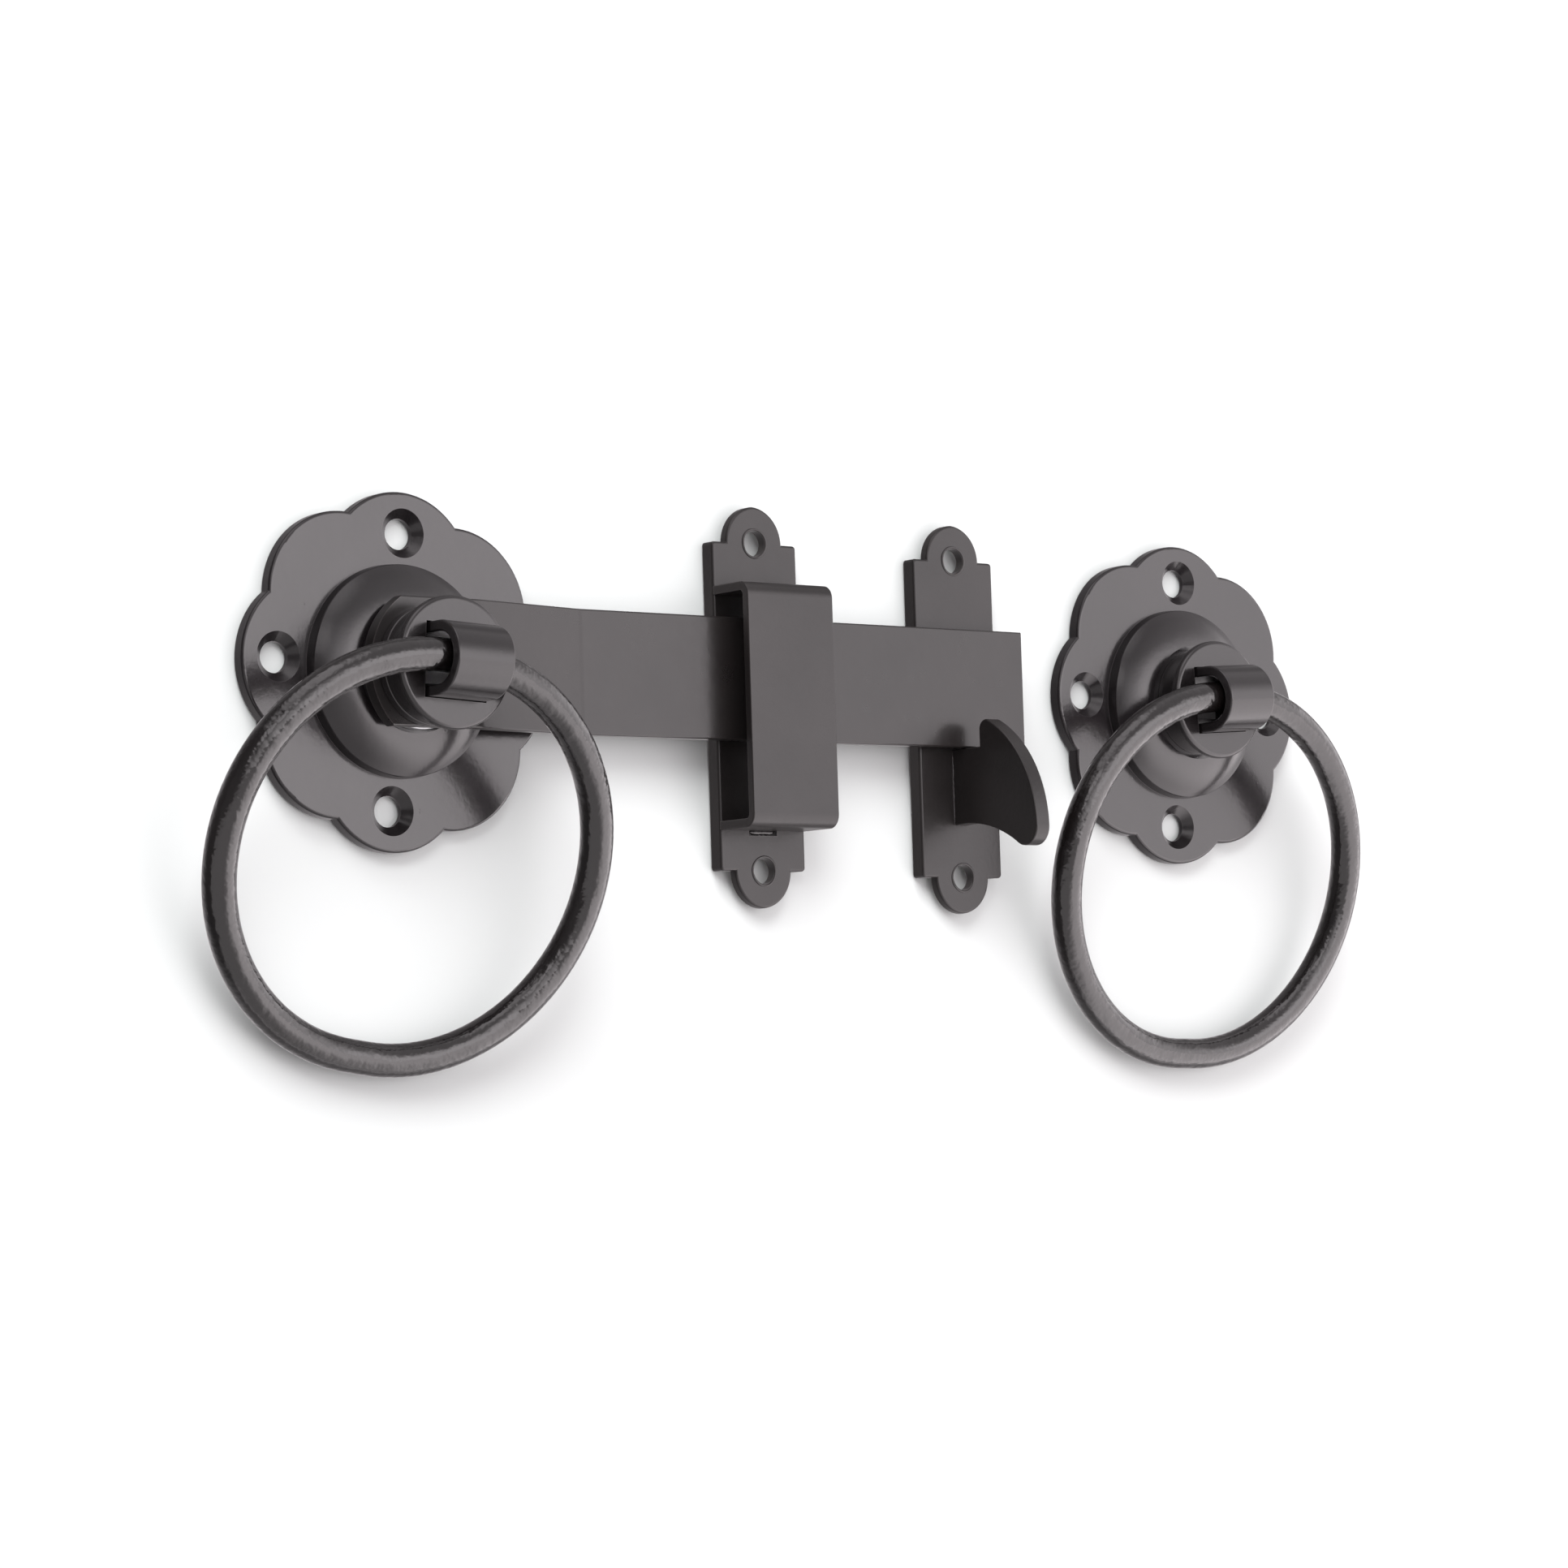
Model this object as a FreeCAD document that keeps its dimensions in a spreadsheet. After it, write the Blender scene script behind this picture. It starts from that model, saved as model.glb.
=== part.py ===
import FreeCAD, Part
import math
import os

import Sketcher
from FreeCAD import Vector

# Ring-handled gate latch set, in millimetres.
# +X runs along the latch arm, +Z is up, and the gate face is the plane Y = 0.
# Everything stands out of the gate face towards -Y; that distance is called depth.
# The origin is on the front spindle's axis, at the gate face.

DIMENSIONS = (
    # Scalloped rose, used twice
    ("rose_thick", 3.0),
    ("rose_tip", 38.0),
    ("rose_cusp", 34.8),
    ("rose_bore", 7.05),
    ("rose_round", 0.7),
    ("screw_circle", 29.3),
    ("screw_hole", 3.3),
    ("screw_mouth", 5.25),
    ("dome_foot", 22.7),
    ("dome_step", 2.4),
    ("dome_draft", 0.4),
    ("dome_top", 9.5),
    ("dome_flat", 13.5),
    ("dome_round", 16.0),
    ("dome_edge", 0.5),
    ("dome_wall", 3.0),
    ("hollow_foot", 19.0),
    ("hollow_step", 3.2),
    ("hollow_flat", 12.5),
    ("rear_x", 223.0),
    ("front_rose_turn", 4.2),
    ("rear_rose_turn", 3.0),
    # Hub with its journal, used twice
    ("disc_radius", 13.9),
    ("disc_thick", 2.1),
    ("disc_round", 1.0),
    ("neck_radius", 12.4),
    ("neck_long", 5.75),
    ("journal_radius", 7.0),
    ("journal_end", 3.0),
    ("groove_radius", 6.4),
    ("groove_wide", 1.1),
    ("play", 0.1),
    ("spindle_side", 8.0),
    ("socket_side", 8.1),
    ("spindle_tail", 24.0),
    ("square_side", 14.0),
    ("square_root", 0.5),
    ("square_play", 0.05),
    ("spindle_lead", 0.9),
    # Parts stacked on the front journal
    ("arm_washer_thick", 2.0),
    ("arm_washer_radius", 12.8),
    ("collar_thick", 2.25),
    ("collar_radius", 12.6),
    ("collar_bore", 10.0),
    ("washer_round", 0.3),
    ("retainer_thick", 1.5),
    ("retainer_radius", 11.0),
    ("clip_thick", 1.0),
    ("clip_radius", 9.6),
    ("clip_mouth", 9.0),
    # Strap eye and the pocket that holds its legs
    ("eye_long", 14.2),
    ("eye_outer", 7.75),
    ("eye_inner", 5.4),
    ("eye_reach", 3.5),
    ("eye_root", 6.0),
    ("eye_gap", 0.15),
    ("eye_side_gap", 0.5),
    ("eye_round", 0.5),
    ("front_eye_roll", 3.0),
    ("rear_eye_roll", -3.5),
    # Ring handle
    ("bar_radius", 3.55),
    ("ring_radius", 42.55),
    ("ring_flat", 2.1),
    ("ring_reach", 4.4),
    ("front_sway", 9.1),
    ("rear_sway", 1.5),
    # Latch arm, cranked back towards the gate
    ("arm_thick", 3.0),
    ("arm_top", 14.6),
    ("arm_bottom", -12.5),
    ("arm_end", 169.0),
    ("arm_depth", 5.4),
    ("crank_start", 13.0),
    ("crank_end", 43.5),
    ("crank_round", 6.0),
    ("arm_nose_radius", 17.2),
    ("arm_nose_x", 2.95),
    ("arm_round", 0.4),
    # Plates of the guide and of the catch
    ("plate_thick", 3.6),
    ("plate_half", 11.8),
    ("plate_shoulder", 36.4),
    ("plate_round", 0.6),
    ("plate_sheet", 2.2),
    ("flange_wide", 2.0),
    ("corner_round", 0.8),
    ("ear_half", 7.75),
    ("ear_rise", 8.2),
    ("ear_hole", 2.9),
    ("guide_x", 95.3),
    ("guide_z", -4.5),
    ("catch_x", 153.15),
    ("catch_z", -5.5),
    # Guide hoop, a bent strap with a tenon at each foot
    ("hoop_top", 21.9),
    ("hoop_bottom", -32.0),
    ("hoop_front", 15.9),
    ("hoop_strap", 2.0),
    ("hoop_bend", 3.0),
    ("hoop_wide", 23.85),
    ("hoop_tenon", 7.0),
    ("hoop_round", 0.3),
    ("slot_play", 0.1),
    ("slot_spare", 1.1),
    ("slot_ease", 0.8),
    # Catch hook
    ("hook_thick", 4.0),
    ("hook_notch", -12.6),
    ("hook_mouth", 9.4),
    ("hook_lip", 2.2),
    ("hook_top", -5.4),
    ("hook_ramp", 28.5),
    ("hook_tip_reach", 27.0),
    ("hook_tip_z", -40.1),
    ("hook_tip_round", 4.3),
    ("hook_under", 32.0),
    ("hook_base", -30.0),
    ("hook_tenon_top", -17.0),
    ("hook_tenon_end", -25.0),
    ("hook_round", 0.4),
)


class Size:
    """A sheet formula together with the number it stands for."""

    def __init__(self, formula, value):
        self.formula = formula
        self.value = value

    def _joined(self, other, sign, value):
        return Size("(%s %s %s)" % (self.formula, sign, as_size(other).formula), value)

    def __add__(self, other):
        return self._joined(other, "+", self.value + as_size(other).value)

    def __sub__(self, other):
        return self._joined(other, "-", self.value - as_size(other).value)

    def __mul__(self, other):
        return self._joined(other, "*", self.value * as_size(other).value)

    def __truediv__(self, other):
        return self._joined(other, "/", self.value / as_size(other).value)

    def __neg__(self):
        return Size("(0 - %s)" % self.formula, -self.value)

    def root(self):
        return Size("sqrt(%s)" % self.formula, math.sqrt(self.value))


def as_size(number):
    if isinstance(number, Size):
        return number
    return Size("%.10g" % number, float(number))


ROSE_LOBES = 8
ROSE_SCREWS = 4
BEYOND = 1          # how far a cutting outline runs past the solid it cuts, mm
SAME = 1e-3         # two lengths closer than this are taken as equal, mm


document = FreeCAD.newDocument("gate_latch")
sheet = document.addObject("Spreadsheet::Sheet", "Sizes")
for row, (alias, number) in enumerate(DIMENSIONS, 1):
    sheet.set("A%d" % row, alias)
    sheet.set("B%d" % row, "%g" % number)
    sheet.setAlias("B%d" % row, alias)
document.recompute()

dim = {alias: Size("Sizes." + alias, number) for alias, number in DIMENSIONS}
sub_parts = []


# ---------------------------------------------------------------- sketch helpers

def new_body(label):
    body = document.addObject("PartDesign::Body", label)
    body.Label = label
    sub_parts.append(body)
    return body


def origin_feature(body, role):
    return next(item for item in body.Origin.OriginFeatures if item.Role == role)


def new_sketch(body, name, plane, lift=None, turn=None):
    """A sketch on an origin plane, lifted along the plane's normal and turned in it."""
    sketch = body.newObject("Sketcher::SketchObject", name)
    sketch.AttachmentSupport = (origin_feature(body, plane), [""])
    sketch.MapMode = "FlatFace"
    if lift is not None or turn is not None:
        place = "create(<<placement>>; create(<<vector>>; 0; 0; %s); create(<<rotation>>; %s; 0; 0))"
        offset = place % (as_size(lift or 0).formula, as_size(turn or 0).formula)
        sketch.setExpression("AttachmentOffset", offset)
    return sketch


def bind(sketch, constraint, size):
    index = sketch.addConstraint(constraint)
    if isinstance(size, Size):
        sketch.setExpression("Constraints[%d]" % index, size.formula)


def pin_point(sketch, geometry, end, x, y):
    """Holds one point of a sketch at (x, y) from the sketch's origin."""
    for kind, axis, size in (("DistanceX", -2, x), ("DistanceY", -1, y)):
        number = as_size(size).value
        if isinstance(size, Size) or number:
            bind(sketch, Sketcher.Constraint(kind, -1, 1, geometry, end, number), size)
        else:
            sketch.addConstraint(Sketcher.Constraint("PointOnObject", geometry, end, axis))


def draw_circle(sketch, x, y, radius):
    centre = Vector(as_size(x).value, as_size(y).value, 0)
    index = sketch.addGeometry(Part.Circle(centre, Vector(0, 0, 1), radius.value), False)
    if as_size(x).value == 0 and as_size(y).value == 0:
        sketch.addConstraint(Sketcher.Constraint("Coincident", index, 3, -1, 1))
    else:
        pin_point(sketch, index, 3, x, y)
    bind(sketch, Sketcher.Constraint("Radius", index, radius.value), radius)


def arc_middle(start, finish, radius, side):
    """The middle point of the short arc that bulges to the right (side 1) or left (-1) of its chord."""
    chord = finish - start
    half = chord.Length / 2
    rise = radius - math.sqrt(max(radius * radius - half * half, 0))
    outward = Vector(chord.y, -chord.x, 0).normalize()
    return (start + finish) * 0.5 + outward * (rise * side)


def draw_outline(sketch, corners):
    """Joins corners (x, y) by lines, or by an arc where a corner also names (radius, side)."""
    points = [Vector(as_size(corner[0]).value, as_size(corner[1]).value, 0) for corner in corners]
    edges = []
    for number, start in enumerate(points):
        finish = points[(number + 1) % len(points)]
        if len(corners[number]) == 2:
            index = sketch.addGeometry(Part.LineSegment(start, finish), False)
            edges.append((index, 1, 2))
            continue
        radius, side = corners[number][2:]
        middle = arc_middle(start, finish, radius.value, side)
        index = sketch.addGeometry(Part.Arc(start, middle, finish), False)
        forward = sketch.getPoint(index, 1).distanceToPoint(start) < SAME
        edges.append((index, 1, 2) if forward else (index, 2, 1))
        bind(sketch, Sketcher.Constraint("Radius", index, radius.value), radius)
    for number, (index, first, last) in enumerate(edges):
        pin_point(sketch, index, first, corners[number][0], corners[number][1])
        following, following_first, _ = edges[(number + 1) % len(edges)]
        sketch.addConstraint(Sketcher.Constraint("Coincident", index, last, following, following_first))


def draw_box(sketch, left, right, low, high):
    draw_outline(sketch, [(left, low), (right, low), (right, high), (left, high)])


# ---------------------------------------------------------------- feature helpers

def add_feature(body, kind, name, sketch, length=None, symmetric=False):
    feature = body.newObject("PartDesign::" + kind, name)
    feature.Profile = sketch
    if length is not None:
        feature.setExpression("Length", length.formula)
    if symmetric:
        feature.SideType = "Symmetric"
    return feature


def pad(body, name, sketch, length, symmetric=False):
    return add_feature(body, "Pad", name, sketch, length, symmetric)


def pad_across(body, name, sketch):
    return pad(body, name, sketch, dim["eye_long"], symmetric=True)


def cut_through(body, name, sketch):
    feature = body.newObject("PartDesign::Pocket", name)
    feature.Profile = sketch
    feature.Type = "ThroughAll"
    feature.SideType = "Symmetric"
    return feature


def spin(body, kind, name, sketch):
    """Turns a section drawn beside the sketch's horizontal axis through a full circle."""
    feature = body.newObject("PartDesign::" + kind, name)
    feature.Profile = sketch
    feature.ReferenceAxis = (sketch, ["H_Axis"])
    feature.Angle = 360
    return feature


def repeat_round(body, name, feature, count):
    pattern = body.newObject("PartDesign::PolarPattern", name)
    pattern.Originals = [feature]
    pattern.Axis = (origin_feature(body, "Y_Axis"), [""])
    pattern.Angle = 360
    pattern.Occurrences = count
    body.Tip = pattern
    return pattern


def dress(body, kind, name, size, wanted):
    """Fillets or chamfers the edges of the body's tip that the test picks."""
    document.recompute()
    base = body.Tip
    chosen = ["Edge%d" % number for number, edge in enumerate(base.Shape.Edges, 1) if wanted(edge)]
    if not chosen:
        raise RuntimeError("%s finds no edges" % name)
    feature = body.newObject("PartDesign::" + kind, name)
    feature.Base = (base, chosen)
    feature.setExpression("Radius" if kind == "Fillet" else "Size", size.formula)
    return feature


def edge_span(edge):
    box = edge.BoundBox
    return box.XMin, box.XMax, box.YMin, box.YMax, box.ZMin, box.ZMax


def is_flat_at(edge, axis, place):
    """True where the whole edge lies in one plane square to an axis."""
    low, high = edge_span(edge)[2 * axis:2 * axis + 2]
    return abs(low - place) < SAME and abs(high - place) < SAME


def is_beyond(edge, axis, place):
    """True where the whole edge lies past +place or past -place along an axis."""
    low, high = edge_span(edge)[2 * axis:2 * axis + 2]
    return low > place - BEYOND or high < BEYOND - place


def is_circle(edge, radius):
    return isinstance(edge.Curve, Part.Circle) and abs(edge.Curve.Radius - radius) < SAME


def is_side_edge(edge, half):
    """True for an edge lying in one of the two planes X = -half and X = half."""
    return is_flat_at(edge, 0, half) or is_flat_at(edge, 0, -half)


def is_upright(edge, axis, places):
    """True for a straight edge square to the X or Y axis that stands at one of the places (a, b)."""
    box = edge_span(edge)
    ends = [box[2 * number] for number in range(3) if number != axis]
    return box[2 * axis + 1] - box[2 * axis] > SAME and any(
        abs(ends[0] - first) < SAME and abs(ends[1] - second) < SAME for first, second in places)


def stand_at(body, x=0, depth=0, z=0, turn=0, lean=0):
    """Places a body: its origin's position, its turn about Y and its lean about its own X."""
    place = "create(<<placement>>; create(<<vector>>; %s; %s; %s); create(<<rotation>>; 0; %s; %s))"
    formulas = [as_size(item).formula for item in (x, -as_size(depth), z, turn, lean)]
    body.setExpression("Placement", place % tuple(formulas))


# ---------------------------------------------------------------- derived places

lobe_offset = ((dim["rose_tip"] * dim["rose_tip"] - dim["rose_cusp"] * dim["rose_cusp"])
               / ((dim["rose_tip"] - dim["rose_cusp"] * math.cos(math.pi / ROSE_LOBES)) * 2))
lobe_radius = dim["rose_tip"] - lobe_offset
arm_back = dim["dome_top"] + dim["play"] + dim["arm_washer_thick"]
arm_front = arm_back + dim["arm_thick"]
front_neck = arm_front + dim["collar_thick"]
front_face = front_neck + dim["neck_long"] + dim["disc_thick"]
rear_neck = dim["dome_top"] + dim["play"]
rear_face = rear_neck + dim["neck_long"] + dim["disc_thick"]
retainer_front = dim["dome_top"] - dim["dome_wall"] - dim["play"]
clip_front = retainer_front - dim["retainer_thick"]
plate_hollow = dim["plate_thick"] - dim["plate_sheet"]
groove_end = clip_front - dim["groove_wide"]


def ring_lean(face):
    """The angle at which the ring's lowest point comes to rest just off the gate face."""
    offset = face + dim["ring_reach"] - dim["bar_radius"] - dim["play"]
    drop = dim["ring_radius"] * 2
    return Size("asin(%s / %s)" % (offset.formula, drop.formula),
                math.degrees(math.asin(offset.value / drop.value)))


# ---------------------------------------------------------------- sub-parts

def make_rose(label, x, turn):
    body = new_body(label)
    thick = dim["rose_thick"]
    sketch = new_sketch(body, label + "_middle", "XZ_Plane")
    draw_circle(sketch, 0, 0, lobe_offset)
    pad(body, label + "_middle_pad", sketch, thick)
    sketch = new_sketch(body, label + "_lobe", "XZ_Plane")
    draw_circle(sketch, lobe_offset, 0, lobe_radius)
    lobe = pad(body, label + "_lobe_pad", sketch, thick)
    repeat_round(body, label + "_lobes", lobe, ROSE_LOBES)
    dress(body, "Fillet", label + "_rim", dim["rose_round"],
          lambda edge: is_flat_at(edge, 1, -thick.value) and is_circle(edge, lobe_radius.value))

    step = thick + dim["dome_step"]
    sketch = new_sketch(body, label + "_dome", "YZ_Plane")
    draw_outline(sketch, [
        (-(thick / 2), 0),
        (-dim["dome_top"], 0),
        (-dim["dome_top"], dim["dome_flat"], dim["dome_round"], -1),
        (-step, dim["dome_foot"] - dim["dome_draft"]),
        (-(thick / 2), dim["dome_foot"]),
    ])
    spin(body, "Revolution", label + "_dome_turned", sketch)

    top = -(dim["dome_top"] - dim["dome_wall"])
    sketch = new_sketch(body, label + "_hollow", "YZ_Plane")
    draw_outline(sketch, [
        (BEYOND, 0),
        (BEYOND, dim["hollow_foot"]),
        (-dim["hollow_step"], dim["hollow_foot"]),
        (top, dim["hollow_flat"]),
        (top, dim["rose_bore"]),
        (-(dim["dome_top"] + BEYOND), dim["rose_bore"]),
        (-(dim["dome_top"] + BEYOND), 0),
    ])
    spin(body, "Groove", label + "_hollow_turned", sketch)

    sketch = new_sketch(body, label + "_screw_hole", "XZ_Plane")
    draw_circle(sketch, 0, dim["screw_circle"], dim["screw_hole"])
    hole = cut_through(body, label + "_screw_hole_cut", sketch)
    repeat_round(body, label + "_screw_holes", hole, ROSE_SCREWS)
    dress(body, "Chamfer", label + "_countersinks", dim["screw_mouth"] - dim["screw_hole"],
          lambda edge: is_flat_at(edge, 1, -thick.value) and is_circle(edge, dim["screw_hole"].value))
    dress(body, "Fillet", label + "_dome_edge", dim["dome_edge"],
          lambda edge: is_flat_at(edge, 1, -step.value))
    stand_at(body, x=x, turn=turn)


def make_hub(label, x, face, neck, roll, square=False):
    """Disc, neck and journal in one piece, pocketed for the eye and broached for the spindle."""
    body = new_body(label)
    disc_back = face - dim["disc_thick"]
    sketch = new_sketch(body, label + "_section", "YZ_Plane")
    draw_outline(sketch, [
        (-face, 0),
        (-face, dim["disc_radius"]),
        (-disc_back, dim["disc_radius"]),
        (-disc_back, dim["neck_radius"]),
        (-neck, dim["neck_radius"]),
        (-neck, dim["journal_radius"]),
        (-clip_front, dim["journal_radius"]),
        (-clip_front, dim["groove_radius"]),
        (-groove_end, dim["groove_radius"]),
        (-groove_end, dim["journal_radius"]),
        (-dim["journal_end"], dim["journal_radius"]),
        (-dim["journal_end"], 0),
    ])
    spin(body, "Revolution", label + "_turned", sketch)
    dress(body, "Fillet", label + "_rim", dim["disc_round"],
          lambda edge: is_flat_at(edge, 1, -face.value))
    dress(body, "Fillet", label + "_back_rim", dim["disc_round"] / 2,
          lambda edge: is_flat_at(edge, 1, -disc_back.value) and is_circle(edge, dim["disc_radius"].value))
    if square:
        half = dim["square_side"] / 2
        sketch = new_sketch(body, label + "_square", "XZ_Plane", lift=arm_back)
        draw_box(sketch, -half, half, -half, half)
        pad(body, label + "_square_pad", sketch, neck - arm_back + dim["square_root"])

    sketch = new_sketch(body, label + "_eye_pocket", "XZ_Plane", lift=face, turn=-roll)
    wide = dim["eye_long"] / 2 + dim["eye_side_gap"]
    high = dim["eye_outer"] + dim["eye_gap"]
    draw_box(sketch, -wide, wide, -high, high)
    add_feature(body, "Pocket", label + "_eye_pocket_cut", sketch, dim["eye_root"])
    half = dim["socket_side"] / 2
    sketch = new_sketch(body, label + "_socket", "XZ_Plane")
    draw_box(sketch, -half, half, -half, half)
    cut_through(body, label + "_socket_cut", sketch)
    stand_at(body, x=x)


def make_eye(label, x, face, roll):
    """A strap bent to a U; its bore runs along X and its legs stand in the hub's pocket."""
    body = new_body(label)
    root = -(face - dim["eye_root"])
    bend = -(face + dim["eye_reach"])
    for name, radius, low_end, apply in (("outside", dim["eye_outer"], root, pad_across),
                                         ("inside", dim["eye_inner"], root + BEYOND, cut_through)):
        sketch = new_sketch(body, "%s_%s_bend" % (label, name), "YZ_Plane")
        draw_circle(sketch, bend, 0, radius)
        apply(body, "%s_%s_bend_done" % (label, name), sketch)
        sketch = new_sketch(body, "%s_%s_legs" % (label, name), "YZ_Plane")
        draw_box(sketch, bend, low_end, -radius, radius)
        apply(body, "%s_%s_legs_done" % (label, name), sketch)
    half = dim["eye_long"].value / 2
    dress(body, "Fillet", label + "_rims", dim["eye_round"],
          lambda edge: is_side_edge(edge, half) and edge.BoundBox.YMin < root.value - SAME)
    stand_at(body, x=x, turn=roll)


def make_ring(label, x, face, sway):
    """A round bar bent to a ring a little wider than it is tall."""
    body = new_body(label)
    flat = dim["ring_flat"]
    radius = dim["ring_radius"]
    side = flat + radius
    drop = radius * 2
    spine = new_sketch(body, label + "_spine", "XZ_Plane")
    draw_outline(spine, [
        (0, 0),
        (flat, 0, radius, -1),
        (side, -radius, radius, -1),
        (flat, -drop),
        (-flat, -drop, radius, -1),
        (-side, -radius, radius, -1),
        (-flat, 0),
    ])
    section = new_sketch(body, label + "_bar", "YZ_Plane")
    draw_circle(section, 0, 0, dim["bar_radius"])
    pipe = body.newObject("PartDesign::AdditivePipe", label + "_bent")
    pipe.Profile = section
    pipe.Spine = spine
    stand_at(body, x=x, depth=face + dim["ring_reach"], turn=sway, lean=ring_lean(face))


def make_arm():
    """Flat bar: a hub end square to the spindle, a crank back to the gate, and a long flat run."""
    body = new_body("latch_arm")
    thick = dim["arm_thick"]
    tail = -(dim["arm_nose_radius"] + BEYOND)
    far_front = dim["arm_depth"] + thick
    sketch = new_sketch(body, "latch_arm_run", "XY_Plane", lift=dim["arm_bottom"])
    draw_outline(sketch, [
        (tail, -arm_back),
        (dim["crank_start"], -arm_back),
        (dim["crank_end"], -dim["arm_depth"]),
        (dim["arm_end"], -dim["arm_depth"]),
        (dim["arm_end"], -far_front),
        (dim["crank_end"], -far_front),
        (dim["crank_start"], -arm_front),
        (tail, -arm_front),
    ])
    pad(body, "latch_arm_pad", sketch, dim["arm_top"] - dim["arm_bottom"])

    beyond = dim["arm_top"] + BEYOND
    reach = dim["arm_nose_radius"]
    corner = dim["arm_nose_x"] - (reach * reach - beyond * beyond).root()
    sketch = new_sketch(body, "latch_arm_nose", "XZ_Plane")
    draw_outline(sketch, [
        (corner, beyond),
        (tail - BEYOND, beyond),
        (tail - BEYOND, -beyond),
        (corner, -beyond, reach, -1),
        (dim["arm_nose_x"] - reach, 0, reach, -1),
    ])
    cut_through(body, "latch_arm_nose_cut", sketch)
    half = dim["square_side"] / 2 + dim["square_play"]
    sketch = new_sketch(body, "latch_arm_square", "XZ_Plane")
    draw_box(sketch, -half, half, -half, half)
    cut_through(body, "latch_arm_square_cut", sketch)
    bends = (dim["crank_start"].value, dim["crank_end"].value)
    dress(body, "Fillet", "latch_arm_bends", dim["crank_round"],
          lambda edge: edge.BoundBox.ZLength > SAME and any(is_flat_at(edge, 0, bend) for bend in bends))
    levels = (dim["arm_top"].value, dim["arm_bottom"].value)
    dress(body, "Fillet", "latch_arm_rims", dim["arm_round"],
          lambda edge: edge.BoundBox.XLength > SAME and any(is_flat_at(edge, 2, level) for level in levels))


def make_spindle():
    """Square bar peened into the floor of the front hub's pocket; its tail passes through the gate."""
    body = new_body("spindle")
    half = dim["spindle_side"] / 2
    sketch = new_sketch(body, "spindle_square", "XZ_Plane", lift=-dim["spindle_tail"])
    draw_box(sketch, -half, half, -half, half)
    pad(body, "spindle_pad", sketch, dim["spindle_tail"] + front_face - dim["eye_root"])
    dress(body, "Chamfer", "spindle_lead", dim["spindle_lead"],
          lambda edge: is_flat_at(edge, 1, dim["spindle_tail"].value))


def make_washer(label, x, depth, thick, outer, inner, rim=None, mouth=None):
    """A flat ring on the spindle's axis; a mouth opens it to a retaining clip."""
    body = new_body(label)
    sketch = new_sketch(body, label + "_face", "XZ_Plane", lift=depth)
    draw_circle(sketch, 0, 0, outer)
    draw_circle(sketch, 0, 0, inner)
    pad(body, label + "_pad", sketch, thick)
    if mouth is not None:
        sketch = new_sketch(body, label + "_mouth", "XZ_Plane", lift=depth)
        draw_box(sketch, -(mouth / 2), mouth / 2, 0, -(outer + BEYOND))
        cut_through(body, label + "_mouth_cut", sketch)
    if rim is not None:
        dress(body, "Fillet", label + "_rim", rim,
              lambda edge: is_circle(edge, outer.value) and edge.BoundBox.YLength < SAME)
    stand_at(body, x=x)


def make_plate(label, x, z, slots):
    """Back plate with an ear at each end and a flange folded back along each side."""
    body = new_body(label)
    half = dim["plate_half"]
    shoulder = dim["plate_shoulder"]
    ear = dim["ear_half"]
    rise = dim["ear_rise"]
    bow = (ear * ear + rise * rise) / (ear * 2)
    sketch = new_sketch(body, label + "_outline", "XZ_Plane")
    draw_outline(sketch, [
        (half, -shoulder),
        (half, shoulder),
        (ear, shoulder, bow, 1),
        (0, shoulder + rise, bow, 1),
        (-ear, shoulder),
        (-half, shoulder),
        (-half, -shoulder),
        (-ear, -shoulder, bow, 1),
        (0, -(shoulder + rise), bow, 1),
        (ear, -shoulder),
    ])
    pad(body, label + "_pad", sketch, dim["plate_thick"])
    sketch = new_sketch(body, label + "_openings", "XZ_Plane")
    for side in (shoulder, -shoulder):
        draw_circle(sketch, 0, side, dim["ear_hole"])
    for wide, low, high in slots:
        draw_box(sketch, -(wide / 2), wide / 2, low - z, high - z)
    cut_through(body, label + "_openings_cut", sketch)
    corners = [(side * half.value, end * shoulder.value) for side in (-1, 1) for end in (-1, 1)]
    corners += [(0, (shoulder + rise).value), (0, -(shoulder + rise).value)]
    dress(body, "Fillet", label + "_corners", dim["corner_round"],
          lambda edge: is_upright(edge, 1, corners))
    dress(body, "Fillet", label + "_rim", dim["plate_round"],
          lambda edge: is_flat_at(edge, 1, -dim["plate_thick"].value)
          and not is_circle(edge, dim["ear_hole"].value)
          and (is_beyond(edge, 2, shoulder.value) or edge.BoundBox.ZLength > shoulder.value))

    sketch = new_sketch(body, label + "_hollow", "XZ_Plane")
    inside = half - dim["flange_wide"]
    end = shoulder + rise + BEYOND
    draw_box(sketch, -inside, inside, -end, end)
    hollow = add_feature(body, "Pocket", label + "_hollow_cut", sketch, plate_hollow)
    hollow.Reversed = True
    stand_at(body, x=x, z=z)


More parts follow.
